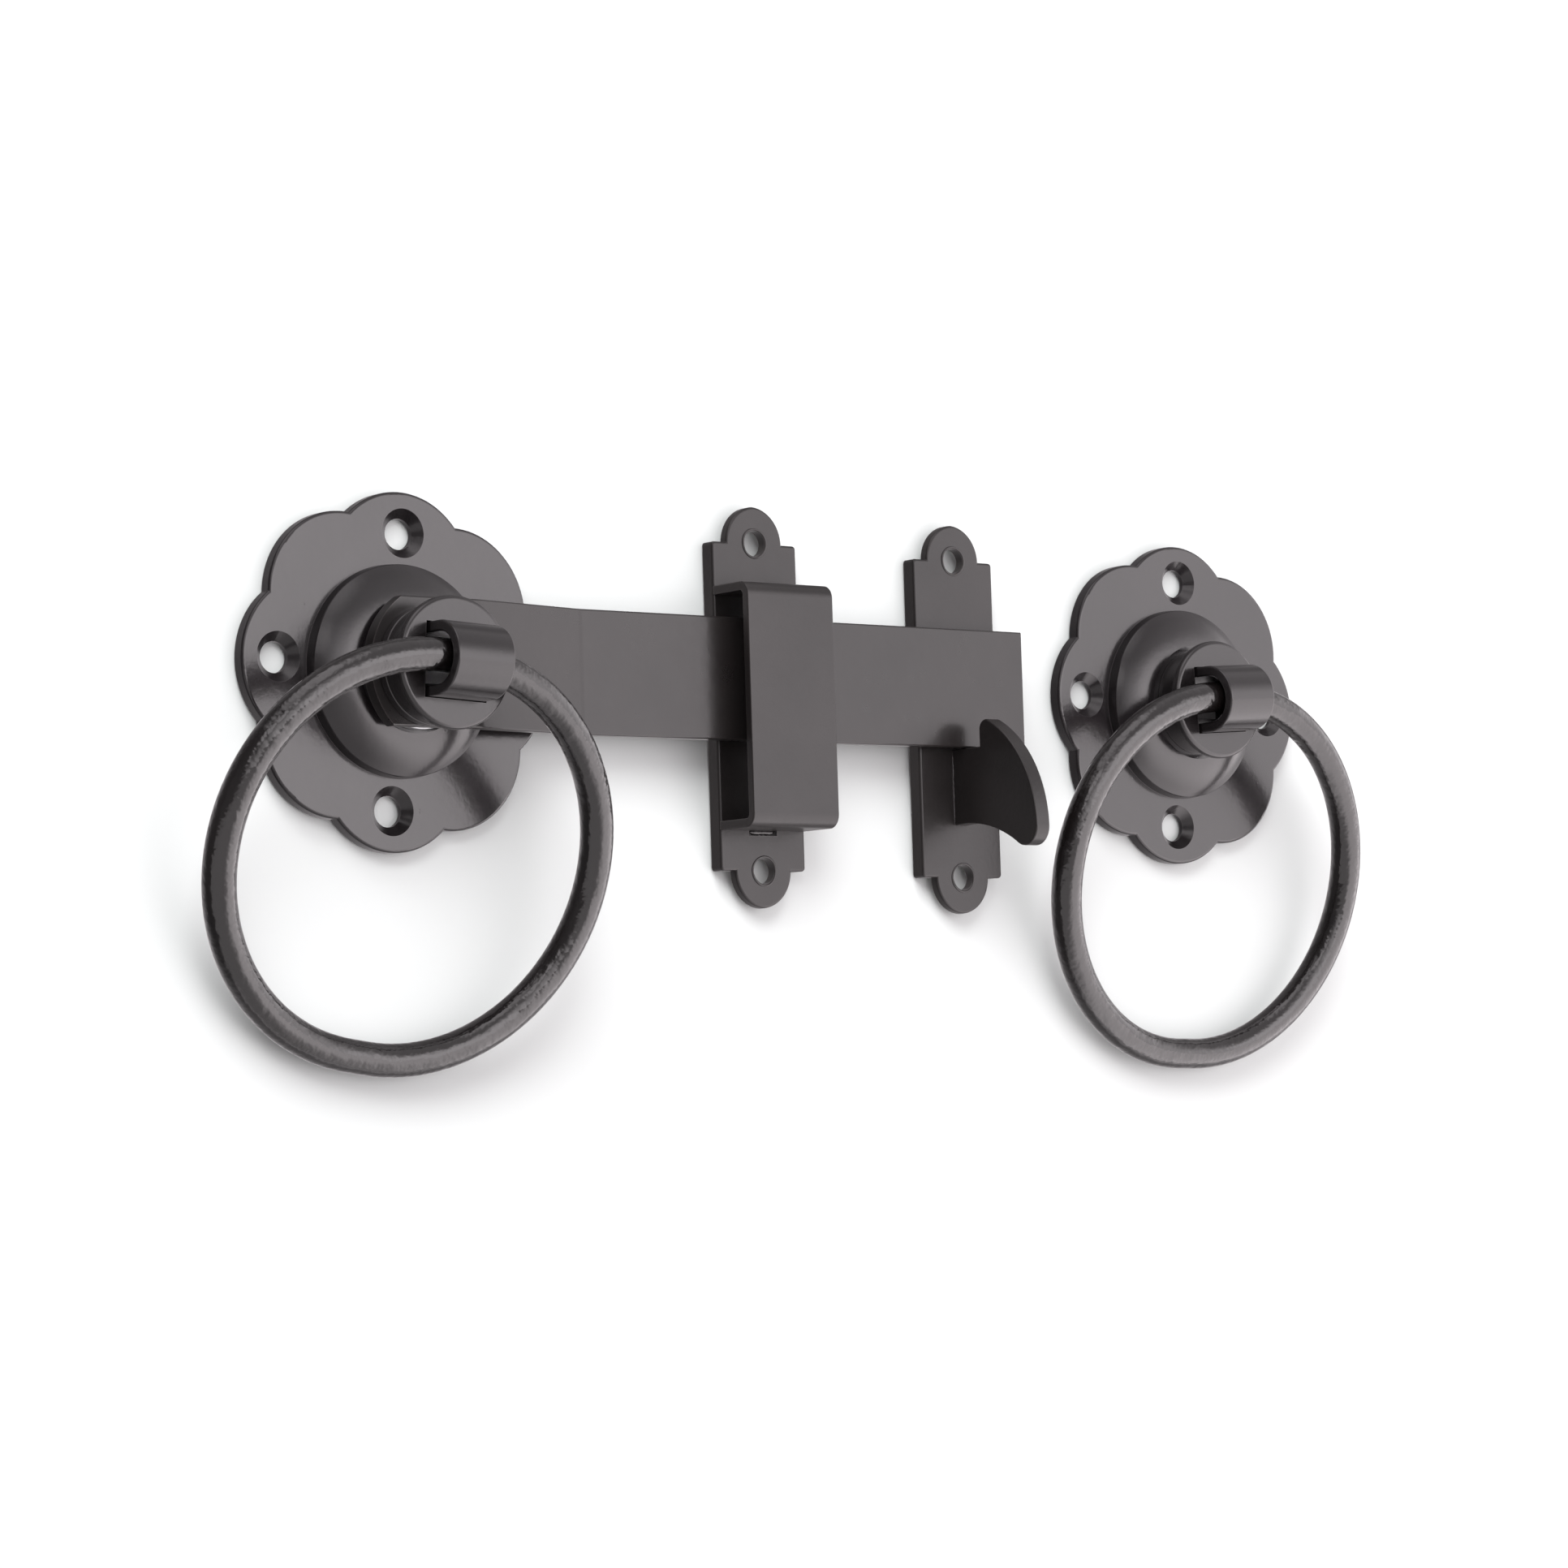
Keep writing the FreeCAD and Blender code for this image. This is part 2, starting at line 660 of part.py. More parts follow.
def make_hoop():
    """Strap bent to a U round the arm, with a tenon through the plate at each foot."""
    body = new_body("guide_hoop")
    foot = -dim["plate_thick"]
    front = -dim["hoop_front"]
    strap = dim["hoop_strap"]
    bend = dim["hoop_bend"]
    top = dim["hoop_top"]
    low = dim["hoop_bottom"]
    sketch = new_sketch(body, "guide_hoop_section", "YZ_Plane")
    draw_outline(sketch, [
        (foot, top),
        (front, top),
        (front, low),
        (foot, low),
        (foot, low + strap),
        (front + strap, low + strap),
        (front + strap, top - strap),
        (foot, top - strap),
    ])
    pad(body, "guide_hoop_pad", sketch, dim["hoop_wide"], symmetric=True)
    outside = [(front.value, top.value), (front.value, low.value)]
    inside = [((front + strap).value, (top - strap).value), ((front + strap).value, (low + strap).value)]
    dress(body, "Fillet", "guide_hoop_outer_bends", bend, lambda edge: is_upright(edge, 0, outside))
    dress(body, "Fillet", "guide_hoop_inner_bends", bend - strap, lambda edge: is_upright(edge, 0, inside))
    half = dim["hoop_wide"].value / 2
    dress(body, "Fillet", "guide_hoop_rims", dim["hoop_round"],
          lambda edge: is_side_edge(edge, half) and edge.BoundBox.YMin < foot.value - SAME)
    sketch = new_sketch(body, "guide_hoop_tenons", "YZ_Plane")
    for bottom in (low, top - strap):
        draw_box(sketch, foot, -plate_hollow, bottom, bottom + strap)
    pad(body, "guide_hoop_tenon_pad", sketch, dim["hoop_tenon"], symmetric=True)
    stand_at(body, x=dim["guide_x"])


def make_hook():
    """Catch plate's hook: a notch for the arm, a lip over it and a ramp that lifts the arm."""
    body = new_body("catch_hook")
    foot = -dim["plate_thick"]
    mouth = foot - dim["hook_mouth"]
    lip_z = dim["hook_top"]
    tip_y = foot - dim["hook_tip_reach"]
    sketch = new_sketch(body, "catch_hook_outline", "YZ_Plane")
    draw_outline(sketch, [
        (foot, dim["hook_notch"]),
        (mouth, dim["hook_notch"]),
        (mouth, lip_z, dim["hook_ramp"], 1),
        (tip_y, dim["hook_tip_z"], dim["hook_under"], -1),
        (foot, dim["hook_base"]),
        (foot, dim["hook_tenon_end"]),
        (-plate_hollow, dim["hook_tenon_end"]),
        (-plate_hollow, dim["hook_tenon_top"]),
        (foot, dim["hook_tenon_top"]),
    ])
    pad(body, "catch_hook_pad", sketch, dim["hook_thick"], symmetric=True)
    dress(body, "Fillet", "catch_hook_lip", dim["hook_lip"],
          lambda edge: is_upright(edge, 0, [(mouth.value, lip_z.value)]))
    dress(body, "Fillet", "catch_hook_tip", dim["hook_tip_round"],
          lambda edge: is_upright(edge, 0, [(tip_y.value, dim["hook_tip_z"].value)]))
    half = dim["hook_thick"].value / 2
    dress(body, "Fillet", "catch_hook_rims", dim["hook_round"],
          lambda edge: is_side_edge(edge, half) and edge.BoundBox.YMin < foot.value - SAME)
    stand_at(body, x=dim["catch_x"])


# ---------------------------------------------------------------- assembly

make_rose("front_rose", 0, dim["front_rose_turn"])
make_rose("rear_rose", dim["rear_x"], dim["rear_rose_turn"])
tenon_slot = dim["hoop_tenon"] + dim["slot_ease"]
make_plate("guide_plate", dim["guide_x"], dim["guide_z"], [
    (tenon_slot, dim["hoop_top"] - dim["hoop_strap"] - dim["slot_play"], dim["hoop_top"] + dim["slot_play"]),
    (tenon_slot, dim["hoop_bottom"] - dim["slot_spare"],
     dim["hoop_bottom"] + dim["hoop_strap"] + dim["slot_play"]),
])
make_hoop()
make_plate("catch_plate", dim["catch_x"], dim["catch_z"], [
    (dim["hook_thick"] + dim["slot_play"] * 2, dim["hook_tenon_end"] - dim["slot_play"],
     dim["hook_tenon_top"] + dim["slot_play"]),
])
make_hook()

make_hub("front_hub", 0, front_face, front_neck, dim["front_eye_roll"], square=True)
make_eye("front_ring_eye", 0, front_face, dim["front_eye_roll"])
make_ring("front_ring", 0, front_face, dim["front_sway"])
make_arm()
make_washer("spacing_collar", 0, arm_front, dim["collar_thick"], dim["collar_radius"],
            dim["collar_bore"], rim=dim["washer_round"])
make_washer("arm_washer", 0, dim["dome_top"] + dim["play"], dim["arm_washer_thick"],
            dim["arm_washer_radius"], dim["rose_bore"], rim=dim["washer_round"])
make_spindle()

make_hub("rear_hub", dim["rear_x"], rear_face, rear_neck, dim["rear_eye_roll"])
make_eye("rear_ring_eye", dim["rear_x"], rear_face, dim["rear_eye_roll"])
make_ring("rear_ring", dim["rear_x"], rear_face, dim["rear_sway"])

for side, place in (("front", 0), ("rear", dim["rear_x"])):
    make_washer(side + "_retaining_washer", place, clip_front, dim["retainer_thick"],
                dim["retainer_radius"], dim["rose_bore"])
    make_washer(side + "_retaining_clip", place, clip_front - dim["clip_thick"], dim["clip_thick"],
                dim["clip_radius"], dim["groove_radius"], mouth=dim["clip_mouth"])

document.recompute()
for item in document.Objects:
    if "Invalid" in item.State or "Error" in item.State:
        raise RuntimeError("%s failed: %s" % (item.Label, item.State))
for body in sub_parts:
    if body.Shape.isNull() or not body.Shape.isValid() or len(body.Shape.Solids) != 1:
        raise RuntimeError("%s has no single valid solid" % body.Label)

os.makedirs("parts", exist_ok=True)
for body in sub_parts:
    body.Shape.exportStep("parts/%s.step" % body.Label)
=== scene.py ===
import math
import random

import bmesh
import bpy
from mathutils import Matrix, Vector


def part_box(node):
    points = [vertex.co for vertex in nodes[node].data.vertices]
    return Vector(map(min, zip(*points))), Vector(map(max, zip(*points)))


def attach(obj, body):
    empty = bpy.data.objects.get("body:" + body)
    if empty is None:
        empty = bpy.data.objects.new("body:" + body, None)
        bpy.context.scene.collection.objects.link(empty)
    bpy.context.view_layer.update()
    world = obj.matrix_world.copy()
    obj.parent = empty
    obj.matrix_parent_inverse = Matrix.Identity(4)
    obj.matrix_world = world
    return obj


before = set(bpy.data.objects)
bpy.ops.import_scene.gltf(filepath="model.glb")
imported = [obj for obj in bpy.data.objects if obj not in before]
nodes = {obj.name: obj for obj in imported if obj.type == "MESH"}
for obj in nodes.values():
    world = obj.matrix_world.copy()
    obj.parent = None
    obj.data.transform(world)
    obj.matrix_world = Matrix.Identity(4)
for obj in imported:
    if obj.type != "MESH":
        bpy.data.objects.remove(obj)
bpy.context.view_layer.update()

random.seed(7)
MM = 0.001
OUT_OF_GATE = Vector((0.0, 1.0, 0.0))
scene = bpy.context.scene


# ---------------------------------------------------------------- shader helpers

def link(tree, source, target):
    tree.links.new(source, target)


def add_node(tree, kind, **settings):
    node = tree.nodes.new(kind)
    for key, value in settings.items():
        setattr(node, key, value)
    return node


def axes(tree, vector):
    node = add_node(tree, "ShaderNodeSeparateXYZ")
    link(tree, vector, node.inputs[0])
    return node.outputs


def noise(tree, position, scale, detail=3.0, rough=0.55):
    node = add_node(tree, "ShaderNodeTexNoise")
    node.inputs["Scale"].default_value = scale
    node.inputs["Detail"].default_value = detail
    node.inputs["Roughness"].default_value = rough
    link(tree, position, node.inputs["Vector"])
    return node.outputs["Fac"]


def remap(tree, value, low, high, to_low, to_high, curve="LINEAR"):
    """Carry low..high over to to_low..to_high, and stay at the nearer end outside it."""
    node = add_node(tree, "ShaderNodeMapRange", clamp=True, interpolation_type=curve)
    for name, number in (("From Min", low), ("From Max", high), ("To Min", to_low), ("To Max", to_high)):
        node.inputs[name].default_value = number
    link(tree, value, node.inputs["Value"])
    return node.outputs["Result"]


def ramp(tree, value, low, high, to_low, to_high):
    """The same as remap, but easing in and out at both ends."""
    return remap(tree, value, low, high, to_low, to_high, "SMOOTHSTEP")


def combine(tree, operation, first, second):
    node = add_node(tree, "ShaderNodeMath", operation=operation)
    for slot, value in enumerate((first, second)):
        if isinstance(value, (int, float)):
            node.inputs[slot].default_value = value
        else:
            link(tree, value, node.inputs[slot])
    return node.outputs["Value"]


def multiply(tree, first, second):
    return combine(tree, "MULTIPLY", first, second)


def mix_colour(tree, factor, first, second):
    node = add_node(tree, "ShaderNodeMix", data_type="RGBA")
    link(tree, factor, node.inputs[0])
    for slot, value in ((6, first), (7, second)):
        if isinstance(value, tuple):
            node.inputs[slot].default_value = (*value, 1.0)
        else:
            link(tree, value, node.inputs[slot])
    return node.outputs[2]


def mix_number(tree, factor, first, second):
    rest = combine(tree, "SUBTRACT", 1.0, factor)
    return combine(tree, "ADD", multiply(tree, rest, first), multiply(tree, factor, second))


def bump(tree, height, distance, strength=1.0, below=None):
    node = add_node(tree, "ShaderNodeBump")
    node.inputs["Strength"].default_value = strength
    node.inputs["Distance"].default_value = distance
    link(tree, height, node.inputs["Height"])
    if below is not None:
        link(tree, below, node.inputs["Normal"])
    return node.outputs["Normal"]


def edge_mask(tree, radius, width):
    """1 on convex and concave edges narrower than radius, fading to 0 on the faces."""
    soft = add_node(tree, "ShaderNodeBevel", samples=6)
    soft.inputs["Radius"].default_value = radius
    plain = add_node(tree, "ShaderNodeNewGeometry")
    dot = add_node(tree, "ShaderNodeVectorMath", operation="DOT_PRODUCT")
    link(tree, soft.outputs["Normal"], dot.inputs[0])
    link(tree, plain.outputs["Normal"], dot.inputs[1])
    return remap(tree, dot.outputs["Value"], 1.0 - width, 1.0, 1.0, 0.0)


def new_material(name):
    material = bpy.data.materials.new(name)
    material.use_nodes = True
    tree = material.node_tree
    shader = tree.nodes["Principled BSDF"]
    position = add_node(tree, "ShaderNodeTexCoord").outputs["Object"]
    return material, tree, shader, position


# ---------------------------------------------------------------- paint and plating

TONE_SCALE = 38.0
SHINE_SCALE = 95.0
DUST_SCALE = 620.0
DUST_GROUPS = 210.0
DUST_HEIGHT = 0.05 * MM
DUST_STRENGTH = 0.6
CHIP_SCALE = 900.0
CHIP_GROUPS = 130.0
BARE_METAL = (0.28, 0.19, 0.13)
EDGE_RADIUS = 0.5 * MM
EDGE_WIDTH = 0.25
# Share of the painted edge highlight: how far the edges are mixed toward the paler colour.
EDGE_HIGHLIGHT_SHARE = 0.7
PAINT_IOR = 1.52
COAT_ROUGH = 0.16
# Facing limits for the painted shade: below these, the coat is cut back and the faces come out darker.
SLOPING, FLAT = 0.80, 0.97


def dust(tree, position):
    """Grains caught under the paint, in scattered groups."""
    grains = add_node(tree, "ShaderNodeTexVoronoi", feature="F1")
    grains.inputs["Scale"].default_value = DUST_SCALE
    link(tree, position, grains.inputs["Vector"])
    heights = remap(tree, grains.outputs["Distance"], 0.0, 0.16, 1.0, 0.0)
    groups = remap(tree, noise(tree, position, DUST_GROUPS, 1.0), 0.60, 0.66, 0.0, 1.0)
    return multiply(tree, heights, groups)


def chips(tree, position, edges, wear):
    """Flakes worn through to the metal, in groups along the edges."""
    flakes = remap(tree, noise(tree, position, CHIP_SCALE, 4.0, 0.7), 0.60, 0.63, 0.0, 1.0)
    groups = remap(tree, noise(tree, position, CHIP_GROUPS, 2.0), 0.58, 0.66, 0.0, 1.0)
    return multiply(tree, multiply(tree, multiply(tree, flakes, groups), wear), edges)


def add_coat(tree, shader, skin, shine, slope):
    """Clear gloss over the paint; slope is the share of it left on faces not parallel to the gate, which
    makes those faces and the rims darker as painted shade.
    """
    normal = axes(tree, add_node(tree, "ShaderNodeTexCoord").outputs["Normal"])
    # Painted shade: faces turned away from the gate plane get less gloss and so come out darker.
    facing = combine(tree, "ABSOLUTE", normal["Y"], 0.0)
    link(tree, ramp(tree, facing, SLOPING, FLAT, shine * slope, shine), shader.inputs["Coat Weight"])
    link(tree, skin, shader.inputs["Coat Normal"])
    shader.inputs["Coat Roughness"].default_value = COAT_ROUGH


def paint(name, dark, light, rough, peel, peel_depth, lump=0.0, lump_scale=120.0, wear=0.0, shine=0.18,
          slope=1.0):
    """Sprayed black paint: drifting tone, orange peel, lumps, dust, and a painted highlight of paler colour
    along the edges.
    """
    material, tree, shader, position = new_material(name)
    drift = remap(tree, noise(tree, position, TONE_SCALE, 4.0), 0.3, 0.7, 0.0, 1.0)
    edges = edge_mask(tree, EDGE_RADIUS, EDGE_WIDTH)
    # Painted highlight: the edges are mixed toward a much paler colour so the rims read as lit.
    edge_highlight = tuple(min(1.0, part * 3.2 + 0.025) for part in light)
    base = mix_colour(tree, drift, dark, light)
    base = mix_colour(tree, multiply(tree, edges, EDGE_HIGHLIGHT_SHARE), base, edge_highlight)
    if wear:
        metal = chips(tree, position, edges, wear)
        base = mix_colour(tree, metal, base, BARE_METAL)
        link(tree, metal, shader.inputs["Metallic"])
    link(tree, base, shader.inputs["Base Color"])
    cloud = noise(tree, position, SHINE_SCALE, 5.0, 0.65)
    link(tree, remap(tree, cloud, 0.3, 0.7, rough * 0.86, rough * 1.14), shader.inputs["Roughness"])
    skin = bump(tree, noise(tree, position, peel, 2.0, 0.5), peel_depth)
    if lump:
        skin = bump(tree, noise(tree, position, lump_scale, 3.0, 0.6), lump, below=skin)
    skin = bump(tree, dust(tree, position), DUST_HEIGHT, DUST_STRENGTH, below=skin)
    link(tree, skin, shader.inputs["Normal"])
    shader.inputs["IOR"].default_value = PAINT_IOR
    add_coat(tree, shader, skin, shine, slope)
    return material


def plated(name, tone, rough):
    """Zinc-plated steel: fine turning lines round the spindle axis and a cloudy tone."""
    material, tree, shader, position = new_material(name)
    cloud = noise(tree, position, 160.0, 4.0, 0.6)
    dull = tuple(part * 0.72 for part in tone)
    base = mix_colour(tree, remap(tree, cloud, 0.35, 0.65, 0.0, 1.0), dull, tone)
    link(tree, base, shader.inputs["Base Color"])
    shader.inputs["Metallic"].default_value = 1.0
    link(tree, remap(tree, cloud, 0.3, 0.7, rough * 0.8, rough * 1.3), shader.inputs["Roughness"])
    stretch = add_node(tree, "ShaderNodeMapping")
    stretch.inputs["Scale"].default_value = (1.0, 14.0, 1.0)
    link(tree, position, stretch.inputs["Vector"])
    lines = noise(tree, stretch.outputs["Vector"], 420.0, 3.0)
    link(tree, bump(tree, lines, 0.02 * MM), shader.inputs["Normal"])
    return material


PLATE_DARK, PLATE_LIGHT = (0.0118, 0.0104, 0.0102), (0.019, 0.0165, 0.0162)
looks = {
    "rose": paint("rose_paint", (0.0090, 0.0078, 0.0084), (0.015, 0.0126, 0.0137), rough=0.24,
                  peel=900.0, peel_depth=0.020 * MM, lump=0.10 * MM, lump_scale=45.0, shine=0.9, slope=0.3),
    "plate": paint("plate_paint", PLATE_DARK, PLATE_LIGHT, rough=0.36,
                   peel=900.0, peel_depth=0.03 * MM, lump=0.06 * MM, lump_scale=70.0),
    "arm": paint("arm_paint", PLATE_DARK, PLATE_LIGHT, rough=0.30,
                 peel=400.0, peel_depth=0.022 * MM, lump=0.14 * MM, lump_scale=60.0, shine=0.3),
    "ring": paint("ring_paint_worn", (0.0040, 0.0032, 0.0032), (0.009, 0.0072, 0.0072), rough=0.14,
                  peel=560.0, peel_depth=0.07 * MM, lump=0.42 * MM, lump_scale=170.0, wear=0.8, shine=1.0),
    "hub": paint("hub_paint", (0.0100, 0.0086, 0.0090), (0.016, 0.0138, 0.0145), rough=0.24,
                 peel=800.0, peel_depth=0.02 * MM, wear=0.5, shine=0.6),
    "zinc": plated("zinc_turned", (0.56, 0.57, 0.58), rough=0.34),
}

LOOK_OF = {
    "rose": ("front_rose", "rear_rose"),
    "plate": ("guide_plate", "catch_plate", "guide_hoop", "catch_hook"),
    "arm": ("latch_arm",),
    "ring": ("front_ring", "rear_ring"),
    "hub": ("front_hub", "rear_hub", "front_ring_eye", "rear_ring_eye", "spacing_collar"),
    "zinc": ("arm_washer", "spindle", "front_retaining_washer", "front_retaining_clip",
             "rear_retaining_washer", "rear_retaining_clip"),
}
for look, names in LOOK_OF.items():
    for name in names:
        data = nodes[name].data
        data.materials.clear()
        data.materials.append(looks[look])


# ---------------------------------------------------------------- small pieces the CAD leaves out

def tube(points, radii, sides=8, closed=False):
    """A swept round bead through the points, each with its own radius; open ends get a flat cap."""
    mesh = bmesh.new()
    rings = []
    count = len(points)
    for number, (point, radius) in enumerate(zip(points, radii)):
        before = points[number - 1] if number or closed else point
        after = points[(number + 1) % count] if number + 1 < count or closed else point
        along = (after - before).normalized()
        across = along.cross(OUT_OF_GATE).normalized()
        third = along.cross(across)
        rings.append([mesh.verts.new(point + (across * math.cos(turn) + third * math.sin(turn)) * radius)
                      for turn in (2 * math.pi * side / sides for side in range(sides))])
    pairs = list(zip(rings, rings[1:])) + ([(rings[-1], rings[0])] if closed else [])
    for one, two in pairs:
        for side in range(sides):
            other = (side + 1) % sides
            mesh.faces.new((one[side], one[other], two[other], two[side]))
    if not closed:
        for ring in (rings[0], rings[-1]):
            mesh.faces.new(ring)
    return mesh


def add_piece(name, mesh, look):
    """A smooth black piece fixed to the gate with the plates."""
    data = bpy.data.meshes.new(name)
    bmesh.ops.recalc_face_normals(mesh, faces=mesh.faces)
    mesh.to_mesh(data)
    mesh.free()
    for face in data.polygons:
        face.use_smooth = True
    piece = bpy.data.objects.new(name, data)
    scene.collection.objects.link(piece)
    data.materials.append(looks[look])
    smooth = piece.modifiers.new("smooth", "SUBSURF")
    smooth.levels = smooth.render_levels = 1
    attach(piece, "gate_fixings")


EAR_HOLE = 2.9 * MM
EAR_STEP = 36.4 * MM
BURR = 0.30 * MM
BURR_SWAY = 0.05 * MM
BURR_ROUGH = 0.02 * MM
BURR_STEPS = 40


def add_burr(plate, end, side):
    """The uneven raised rim that the punch leaves round the hole in an ear; side is 1 up or -1 down."""
    low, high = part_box(plate)
    middle = (low + high) / 2
    centre = Vector((middle.x, low.y, middle.z + side * EAR_STEP))
    points, radii = [], []
    for step in range(BURR_STEPS):
        turn = 2 * math.pi * step / BURR_STEPS
        reach = EAR_HOLE + BURR + BURR_SWAY * math.sin(3 * turn + side)
        points.append(centre + Vector((math.cos(turn) * reach, BURR_SWAY, math.sin(turn) * reach)))
        sway = BURR_SWAY * math.sin(2 * turn + 1.0 + side)
        radii.append(BURR + sway + random.uniform(-1.0, 1.0) * BURR_ROUGH)
    add_piece(plate + "_" + end + "_burr", tube(points, radii, closed=True), "plate")


def add_bead(name, start, end, size, ripple, steps):
    """A narrow uneven line of filler or upset metal along a joint."""
    points, radii = [], []
    for step in range(steps + 1):
        share = step / steps
        jitter = Vector([random.uniform(-0.12, 0.12) * size for _ in range(3)])
        points.append(start.lerp(end, share) + jitter)
        taper = min(1.0, 4.0 * min(share, 1.0 - share) + 0.25)
        radii.append(size * taper * (1.0 + random.uniform(-ripple, ripple)))
    add_piece(name, tube(points, radii), "hub")


for plate in ("guide_plate", "catch_plate"):
    for end, side in (("top", 1), ("bottom", -1)):
        add_burr(plate, end, side)

SEAM_TOP, SEAM_FOOT = -13.5 * MM, -30.2 * MM
SEAM_SIZE = 0.26 * MM
hook_low, hook_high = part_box("catch_hook")
seam_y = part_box("catch_plate")[0].y + 0.02 * MM
for side, x in (("left", hook_low.x), ("right", hook_high.x)):
    add_bead("catch_seam_" + side, Vector((x, seam_y, SEAM_TOP)), Vector((x, seam_y, SEAM_FOOT)),
             SEAM_SIZE, ripple=0.4, steps=34)

TENON_HALF = 3.6 * MM
STAKE_SIZE = 0.72 * MM
STAKE_DEPTH = 0.75 * MM
STAKE_GAP = 0.35 * MM
hoop_low, hoop_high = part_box("guide_hoop")
hoop_middle = (hoop_low.x + hoop_high.x) / 2
stake_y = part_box("guide_plate")[0].y + STAKE_DEPTH
for end, z in (("bottom", hoop_low.z - STAKE_GAP), ("top", hoop_high.z + STAKE_GAP)):
    add_bead("guide_stake_" + end, Vector((hoop_middle - TENON_HALF, stake_y, z)),
             Vector((hoop_middle + TENON_HALF, stake_y, z)), STAKE_SIZE, ripple=0.22, steps=18)


# ---------------------------------------------------------------- stage

WALL_Y = 0.6 * MM
FLOOR_Z = -0.30
COVE = 0.12
COVE_STEPS = 24
REACH = 3.0
WHITE = (1.0, 1.0, 1.0)
BOARD_TONE = (0.545, 0.567, 0.562)
BOARD_TONE_TO_THE_SET = (0.10, 0.10, 0.10)
FLOOR_TINT = (1.0, 0.93, 0.95)
FLOOR_FILL = 0.55
FLOOR_DIM = 0.45
FLOOR_GLOW = 2.2
GLOW_START, GLOW_FULL = -0.05, 0.30


def stage_material():
    """White board that the camera sees from its front only, so that it never hides the set.

    Light and reflections pass through the standing part, and meet a glowing floor that is brighter
    to the right, so the paint has something soft and uneven to mirror.
    """
    material, tree, shader, position = new_material("board_white")
    seen = add_node(tree, "ShaderNodeLightPath").outputs["Is Camera Ray"]
    unseen = combine(tree, "SUBTRACT", 1.0, seen)
    link(tree, mix_colour(tree, seen, BOARD_TONE_TO_THE_SET, BOARD_TONE), shader.inputs["Base Color"])
    shader.inputs["Roughness"].default_value = 0.9
    shader.inputs["Specular IOR Level"].default_value = 0.1
    link(tree, bump(tree, noise(tree, position, 30.0), 0.02 * MM), shader.inputs["Normal"])
    geometry = add_node(tree, "ShaderNodeNewGeometry")
    lying = ramp(tree, axes(tree, geometry.outputs["Normal"])["Z"], 0.2, 0.9, 0.0, 1.0)
    patch = ramp(tree, axes(tree, position)["X"], GLOW_START, GLOW_FULL, FLOOR_DIM, FLOOR_GLOW)
    level = multiply(tree, mix_number(tree, seen, patch, FLOOR_FILL), lying)
    link(tree, mix_colour(tree, seen, FLOOR_TINT, WHITE), shader.inputs["Emission Color"])
    link(tree, level, shader.inputs["Emission Strength"])
    standing = combine(tree, "SUBTRACT", 1.0, lying)
    hidden = combine(tree, "MAXIMUM", geometry.outputs["Backfacing"], multiply(tree, unseen, standing))
    choose = add_node(tree, "ShaderNodeMixShader")
    clear = add_node(tree, "ShaderNodeBsdfTransparent")
    link(tree, hidden, choose.inputs[0])
    link(tree, shader.outputs[0], choose.inputs[1])
    link(tree, clear.outputs[0], choose.inputs[2])
    link(tree, choose.outputs[0], tree.nodes["Material Output"].inputs["Surface"])
    return material


def build_stage():
    """A wall that curves into a floor, facing the front and the top."""
    profile = [(WALL_Y, REACH), (WALL_Y, FLOOR_Z + COVE)]
    for step in range(1, COVE_STEPS + 1):
        turn = math.pi / 2 * step / COVE_STEPS
        profile.append((WALL_Y - COVE + COVE * math.cos(turn), FLOOR_Z + COVE - COVE * math.sin(turn)))
    profile.append((-REACH, FLOOR_Z))
    mesh = bmesh.new()
    rows = [[mesh.verts.new((x, y, z)) for y, z in profile] for x in (-REACH, REACH)]
    for row in range(len(profile) - 1):
        mesh.faces.new((rows[0][row + 1], rows[1][row + 1], rows[1][row], rows[0][row]))
    data = bpy.data.meshes.new("floor")
    mesh.to_mesh(data)
    mesh.free()
    for face in data.polygons:
        face.use_smooth = True
    data.materials.append(stage_material())
    floor = bpy.data.objects.new("floor", data)
    stage_only = bpy.data.collections.new("stage_only")
    scene.collection.children.link(stage_only)
    stage_only.objects.link(floor)
    return stage_only


# ---------------------------------------------------------------- surroundings

SURROUNDINGS = 0.10
WALL_LIGHT = 1.70
WORLD_TINT = (1.0, 0.945, 0.968)
# Axis of the direction, where the change starts and ends on it, and the share of the light there.
DARK_LEFT = ("X", -0.78, -0.22, 0.05, 1.0)
SOFTER_OVERHEAD = ("Z", 0.18, 0.62, 1.0, 0.30)
SOFTER_BELOW = ("Z", -0.75, -0.25, 0.6, 1.0)
DIM_BEHIND = ("Y", -0.05, 0.25, 1.0, 0.28)
# Degrees to the right of the front, degrees up, inner and outer radius in degrees, strength.
FRONT_WINDOW = (16.0, 4.0, 8.0, 30.0, 1.0)
HIGH_LEFT_WINDOW = (-50.0, 62.0, 12.0, 30.0, 0.9)
LEFT_LAMP = (-42.0, 26.0, 3.0, 15.0, 1.5)


def window(tree, direction, azimuth, elevation, inner, outer, strength):
    """A soft round patch of light in the surroundings."""
    turn, rise = math.radians(azimuth), math.radians(elevation)
    centre = (math.sin(turn) * math.cos(rise), -math.cos(turn) * math.cos(rise), math.sin(rise))
    dot = add_node(tree, "ShaderNodeVectorMath", operation="DOT_PRODUCT")
    link(tree, direction, dot.inputs[0])
    dot.inputs[1].default_value = centre
    edge, core = math.cos(math.radians(outer)), math.cos(math.radians(inner))
    return ramp(tree, dot.outputs["Value"], edge, core, 0.0, strength)


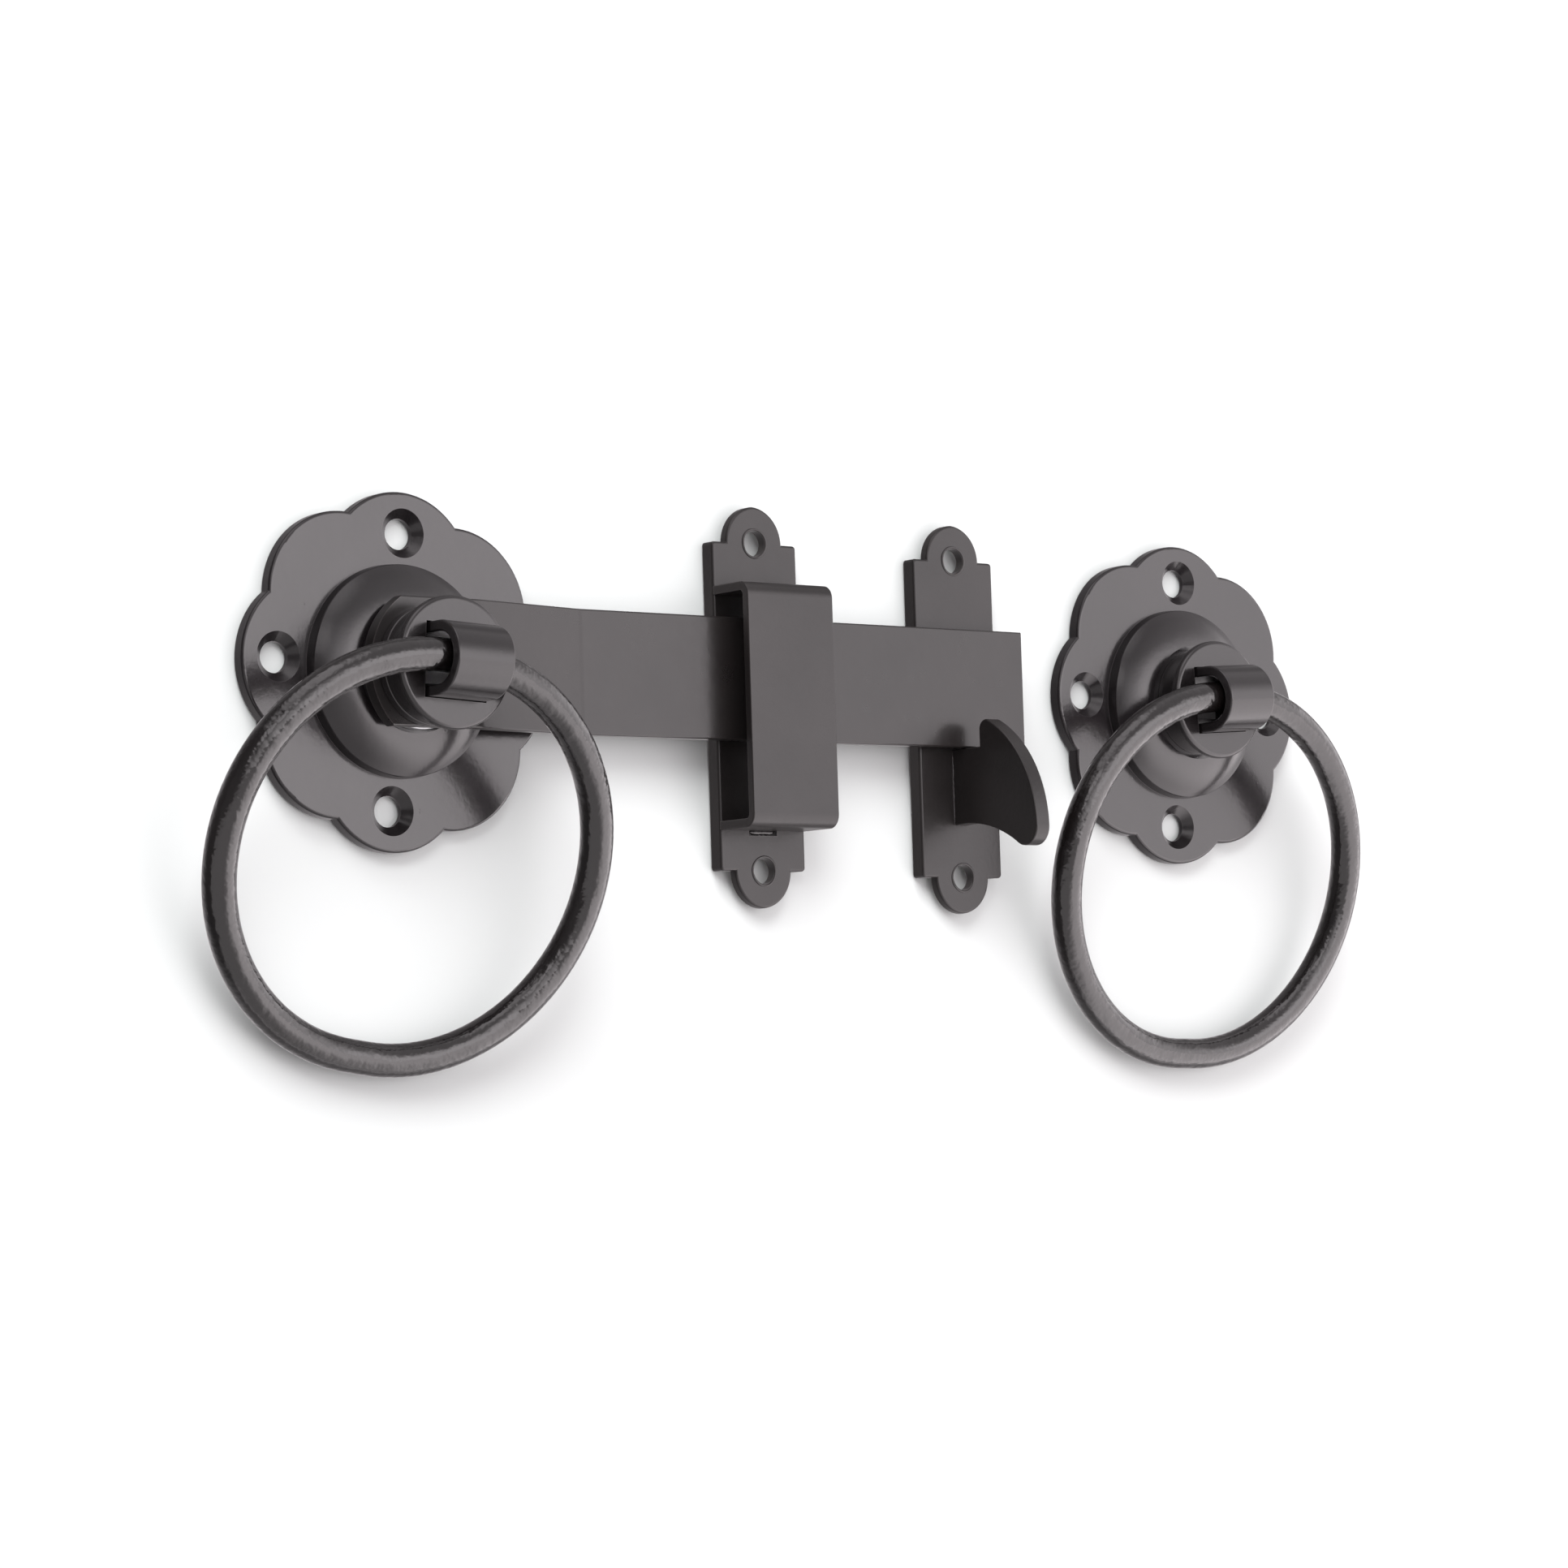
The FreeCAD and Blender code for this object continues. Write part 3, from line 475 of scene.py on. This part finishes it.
def build_world():
    """Pale walls of light round the front and the right; the camera itself sees plain white."""
    world = bpy.data.worlds.new("studio")
    scene.world = world
    world.use_nodes = True
    tree = world.node_tree
    backdrop = tree.nodes["Background"]
    direction = add_node(tree, "ShaderNodeTexCoord").outputs["Generated"]
    parts = axes(tree, direction)
    total = WALL_LIGHT
    for axis, start, end, share_start, share_end in (DARK_LEFT, SOFTER_OVERHEAD, SOFTER_BELOW, DIM_BEHIND):
        total = multiply(tree, total, ramp(tree, parts[axis], start, end, share_start, share_end))
    for patch in (FRONT_WINDOW, HIGH_LEFT_WINDOW, LEFT_LAMP):
        total = combine(tree, "ADD", total, window(tree, direction, *patch))
    total = combine(tree, "ADD", total, SURROUNDINGS)
    seen = add_node(tree, "ShaderNodeLightPath").outputs["Is Camera Ray"]
    link(tree, mix_number(tree, seen, total, 1.0), backdrop.inputs["Strength"])
    link(tree, mix_colour(tree, seen, WORLD_TINT, WHITE), backdrop.inputs["Color"])


# ---------------------------------------------------------------- lights and camera

AIM = (0.10, 0.0, -0.02)
CAMERA_PLACE = Vector((-541.230, -810.230, -95.436)) * MM
CAMERA_YAW, CAMERA_PITCH, CAMERA_ROLL = 38.603, 4.137, -1.773
CAMERA_LENS = 106.99
CAMERA_SENSOR = 36.0
CAMERA_SHIFT = (-0.00244, -0.00196)


def area_light(name, place, size, power):
    """A square lamp that looks at the middle of the set."""
    data = bpy.data.lights.new(name, "AREA")
    data.shape = "RECTANGLE"
    data.size = data.size_y = size
    data.energy = power
    light = bpy.data.objects.new(name, data)
    light.location = place
    light.rotation_mode = "QUATERNION"
    light.rotation_quaternion = (Vector(AIM) - Vector(place)).to_track_quat("-Z", "Y")
    scene.collection.objects.link(light)
    return light


def build_lights(stage_only):
    """One lamp for the board's shadows, a faint one on the set, and one behind for the hidden side."""
    board_key = area_light("board_key", (-0.85, -1.0, 1.25), size=1.3, power=49.0)
    board_key.light_linking.receiver_collection = stage_only
    key = area_light("key", (-0.3, -1.0, 1.25), size=0.9, power=6.0)
    back_fill = area_light("back_fill", (-0.6, 1.0, 0.9), size=1.0, power=30.0)
    key.visible_glossy = back_fill.visible_glossy = False


def build_camera():
    """Long lens, below and to the left of the set, turned a little about its own axis."""
    yaw, pitch, roll = (math.radians(angle) for angle in (CAMERA_YAW, CAMERA_PITCH, CAMERA_ROLL))
    forward = Vector((math.sin(yaw) * math.cos(pitch), math.cos(yaw) * math.cos(pitch), math.sin(pitch)))
    level = Vector((math.cos(yaw), -math.sin(yaw), 0.0))
    upright = level.cross(forward)
    right = level * math.cos(roll) + upright * math.sin(roll)
    up = upright * math.cos(roll) - level * math.sin(roll)
    data = bpy.data.cameras.new("camera")
    data.sensor_width = CAMERA_SENSOR
    data.lens = CAMERA_LENS
    data.shift_x, data.shift_y = CAMERA_SHIFT
    data.clip_start, data.clip_end = 0.01, 50.0
    camera = bpy.data.objects.new("camera", data)
    camera.rotation_mode = "QUATERNION"
    camera.rotation_quaternion = Matrix((right, up, -forward)).transposed().to_quaternion()
    camera.location = CAMERA_PLACE
    scene.collection.objects.link(camera)
    scene.camera = camera


stage_only = build_stage()
build_world()
build_camera()
build_lights(stage_only)
scene.view_settings.view_transform = "Standard"
